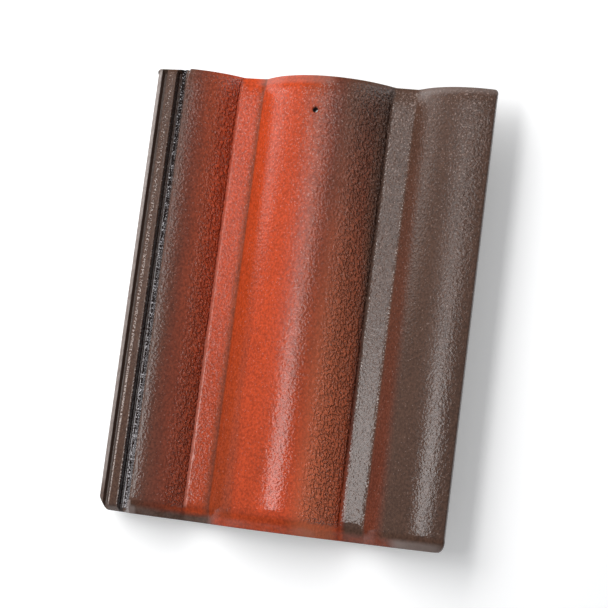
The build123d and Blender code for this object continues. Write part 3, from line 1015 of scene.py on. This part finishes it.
def coat_height(n, on_face):
    """Fine height of the coat in millimetres, and the painted shade that darkens its creases: sandy grain
    whose height changes across the tile, slanting creases on two flanks, and little of either on the bevels."""
    sand = n.noise(2.2, stretch=(1, 1.1, 1))
    leather = n.strongest(*(n.between(n.across, *flank) for flank in LEATHER_FLANKS))
    even = n.math("MULTIPLY_ADD", on_face, 1 - GRAIN_ON_CUTS, GRAIN_ON_CUTS)
    grain = n.times(n.across_curve(GRAIN, GRAIN_MOST), even, n.between_ends(*GRAIN_ENDS))
    creased = n.noise(2.0, stretch=(1, 1.7, 1), detail=1.5, distortion=0.2, turn=CREASE_TURN)
    creases = n.ramp(creased, *CREASE_EDGES)
    leathery = n.times(creases, leather, even, LEATHER_HEIGHT)
    # painted shade darkens the bottom of the creases
    hollow = n.times(n.math("SUBTRACT", 1.0, creases), leather, CREASE_SHADE, on_face)
    return n.math("ADD", n.times(sand, grain), leathery), hollow


def coated_concrete():
    """Glossy coat over the grain of the concrete, flamed from umber to orange, with painted light and shade.
    """
    n = CoatNodes("coated_concrete")
    on_face = face_share(n)
    height, hollow = coat_height(n, on_face)
    mottle = n.noise(2.1, stretch=(1, 1.2, 1), detail=2.5, roughness=0.6)
    clouds = n.noise(30, stretch=(1, 2, 1))
    tone = n.math("ADD", n.ramp(mottle, *NOISE_SPAN, *MOTTLE_TONE), n.ramp(clouds, *NOISE_SPAN, *CLOUD_TONE))
    # painted shade in the creases lowers the tone
    tone = n.math("SUBTRACT", tone, hollow)
    flamed = n.curve(flame_heat(n, wandered(n)), HEAT_COLOURS)
    shaded = n.add("ShaderNodeHueSaturation", {"Color": flamed, "Value": tone})
    # painted sheen, shade, glints and highlights on the lock, and a painted highlight at the left channel's
    # edge
    colour = flank_colours(n, lock_colours(n, shaded.outputs["Color"]), on_face)
    # painted highlights on the bevels and painted glints across the face
    colour = painted_glints(n, bevel_bloom_and_highlights(n, colour), on_face)
    # painted highlight lines along the arrises
    colour = n.mix(n.times(arris_glint_share(n), on_face), colour, ARRIS_GLINT)
    n.give(n.shader.inputs["Base Color"], colour)

    n.give(n.shader.inputs["Normal"], n.bump(height, GRAIN_UNDER_COAT))
    n.give(n.shader.inputs["Coat Normal"], n.bump(height, 1.0))
    n.give(n.shader.inputs["Roughness"], n.ramp(mottle, *NOISE_SPAN, *BASE_ROUGHNESS))
    coat = n.math("MULTIPLY_ADD", on_face, 1 - COAT_ON_CUTS, COAT_ON_CUTS)
    n.give(n.shader.inputs["Coat Weight"], coat)
    n.shader.inputs["Coat Roughness"].default_value = 0.12
    n.shader.inputs["Coat IOR"].default_value = 1.5
    n.shader.inputs["Specular IOR Level"].default_value = 0.0
    return n.material


# painted shade of the deep nail hole, red-brown like the coat
HOLE_SHADE = srgb(46, 16, 12)
HOLE_GRAINS = srgb(74, 32, 22)
HOLE_GRAIN_EDGES = (0.45, 0.7)
HOLE_BUMP = 0.5
HOLE_BUMP_STRENGTH = 0.6


def nail_hole_painted_shade():
    """Wall of the nail hole: dull, a dark red-brown painted shade in the coat's hue, with lighter grains."""
    n = Nodes("nail_hole_painted_shade")
    sand = n.noise(1.1, roughness=0.6)
    grains = n.ramp(sand, *HOLE_GRAIN_EDGES)
    n.give(n.shader.inputs["Base Color"], n.mix(grains, HOLE_SHADE, HOLE_GRAINS))
    n.give(n.shader.inputs["Normal"], n.bump(sand, HOLE_BUMP, HOLE_BUMP_STRENGTH))
    n.shader.inputs["Roughness"].default_value = 0.85
    return n.material


BARE_DARK = srgb(118, 110, 102)
BARE_LIGHT = srgb(139, 131, 122)
BARE_CLOUDS = (0.35, 0.65)
BARE_GRAINS = srgb(84, 78, 73)
BARE_GRAIN_SHARE = (0.56, 0.72, 0.0, 0.6)     # from and to of the noise, and the dark grains' share there
BARE_LUMPS = 0.8
BARE_BUMP = 0.6
BARE_BUMP_STRENGTH = 0.9


def raw_concrete():
    """Bare, sandy concrete of the underside."""
    n = Nodes("raw_concrete")
    sand = n.noise(1.1, detail=3, roughness=0.7)
    clouds = n.noise(22, stretch=(1, 1.6, 1), detail=3, roughness=0.6)
    grey = n.mix(n.ramp(clouds, *BARE_CLOUDS), BARE_DARK, BARE_LIGHT)
    n.give(n.shader.inputs["Base Color"], n.mix(n.ramp(sand, *BARE_GRAIN_SHARE), grey, BARE_GRAINS))
    height = n.math("ADD", sand, n.times(n.noise(4.0), BARE_LUMPS))
    n.give(n.shader.inputs["Normal"], n.bump(height, BARE_BUMP, BARE_BUMP_STRENGTH))
    n.shader.inputs["Roughness"].default_value = 0.92
    return n.material


FLOOR_LIFT = 0.26


def white_floor():
    """Matt white floor: seen directly or in a reflection it shows a little brighter, which clips to white
    away from the object's shadow."""
    n = Nodes("white_floor")
    n.shader.inputs["Base Color"].default_value = (0.92, 0.92, 0.92, 1.0)
    n.shader.inputs["Roughness"].default_value = 0.9
    n.shader.inputs["Specular IOR Level"].default_value = 0.0
    path = n.add("ShaderNodeLightPath").outputs
    seen = n.strongest(path["Is Camera Ray"], path["Is Glossy Ray"], path["Is Transmission Ray"])
    n.shader.inputs["Emission Color"].default_value = (1.0, 1.0, 1.0, 1.0)
    n.give(n.shader.inputs["Emission Strength"], n.times(seen, FLOOR_LIFT))
    return n.material


# Pieces

def piece_object(name, mesh, materials):
    """Object of a mesh, in its place, with its materials in the order of its slots."""
    piece = bpy.data.objects.new(name, mesh)
    bpy.context.scene.collection.objects.link(piece)
    for material in materials:
        mesh.materials.append(material)
    return piece


tile_materials = (coated_concrete(), raw_concrete(), nail_hole_painted_shade())
tile = piece_object("roof_tile_dressed", tile_mesh(), tile_materials)
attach(tile, "root")
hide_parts(NODE)

# Floor
FLOOR_HALF = 6000.0


def floor_square():
    """One level square round the origin, at the height 0."""
    half = FLOOR_HALF * MM
    corners = [(x * half, y * half, 0.0) for x, y in ((-1, -1), (1, -1), (1, 1), (-1, 1))]
    mesh = bpy.data.meshes.new("floor")
    mesh.from_pydata(corners, [], [(0, 1, 2, 3)])
    return mesh


floor = piece_object("floor", floor_square(), (white_floor(),))

# Camera
CAMERA_PLACE = (468.6, -200.3, 1736.7)
CAMERA_AIM = (4.2, 0.1, 23.5)
PICTURE_TURN = 7.57               # degrees from the tile's length to the picture's upright
LENS = 114.27
SENSOR_WIDTH = 36.0
CLIP = (0.05, 50.0)               # metres


def camera():
    """Camera at a place, aimed at a point, with the picture's upright turned from the tile's length."""
    data = bpy.data.cameras.new("camera")
    data.lens, data.sensor_width = LENS, SENSOR_WIDTH
    data.clip_start, data.clip_end = CLIP
    made = bpy.data.objects.new("camera", data)
    bpy.context.scene.collection.objects.link(made)
    place, aim = Vector(CAMERA_PLACE) * MM, Vector(CAMERA_AIM) * MM
    look = (aim - place).normalized()
    turn = np.radians(PICTURE_TURN)
    upright = Vector((-np.sin(turn), np.cos(turn), 0.0))
    right = look.cross(upright).normalized()
    up = right.cross(look)
    made.matrix_world = Matrix.Translation(place) @ Matrix((right, up, -look)).transposed().to_4x4()
    return made


bpy.context.scene.camera = camera()

# Lamps
LAMPS = {
    # place, aim, size across and along, watts, whether it shows in the coat's gloss
    "overhead_softbox": ((-120.0, 340.0, 770.0), (-120.0, 340.0, 0.0), (200.0, 640.0), 1.1, True),
    "overhead_hot_end": ((-120.0, -130.0, 770.0), (-120.0, -130.0, 0.0), (200.0, 300.0), 0.98, True),
    "overhead_wing": ((-370.0, 300.0, 770.0), (-370.0, 300.0, 0.0), (280.0, 600.0), 0.28, True),
    "low_left_panel": ((-1000.0, 480.0, 330.0), (0.0, 100.0, 20.0), (400.0, 560.0), 1.1, True),
    "tail_glint": ((-85.0, -215.0, 770.0), (-85.0, -215.0, 0.0), (110.0, 130.0), 0.22, True),
    "key_lamp": ((-850.0, 1000.0, 1350.0), (0.0, 0.0, 0.0), (1050.0, 2300.0), 28.0, False),
}


def softbox(name, place, aim, size, watts):
    """Rectangular soft lamp at a place, facing a point. The size is across and along the tile."""
    data = bpy.data.lights.new(name, "AREA")
    data.shape = "RECTANGLE"
    data.size, data.size_y = size[0] * MM, size[1] * MM
    data.energy = watts
    lamp = bpy.data.objects.new(name, data)
    bpy.context.scene.collection.objects.link(lamp)
    place, aim = Vector(place) * MM, Vector(aim) * MM
    back = (place - aim).normalized()
    along = (Vector((0.0, 1.0, 0.0)) - back * back.y).normalized()
    facing = Matrix((along.cross(back), along, back)).transposed().to_4x4()
    lamp.matrix_world = Matrix.Translation(place) @ facing
    lamp.visible_camera = False
    return lamp


for name, (place, aim, size, watts, in_gloss) in LAMPS.items():
    softbox(name, place, aim, size, watts).visible_glossy = in_gloss

# World
WORLD_COLOUR = (0.95, 0.97, 1.0, 1.0)
WORLD_STRENGTH = 0.31
world = bpy.data.worlds.new("studio")
bpy.context.scene.world = world
world.use_nodes = True
world.node_tree.nodes["Background"].inputs["Color"].default_value = WORLD_COLOUR
world.node_tree.nodes["Background"].inputs["Strength"].default_value = WORLD_STRENGTH

bpy.context.scene.view_settings.view_transform = "Standard"
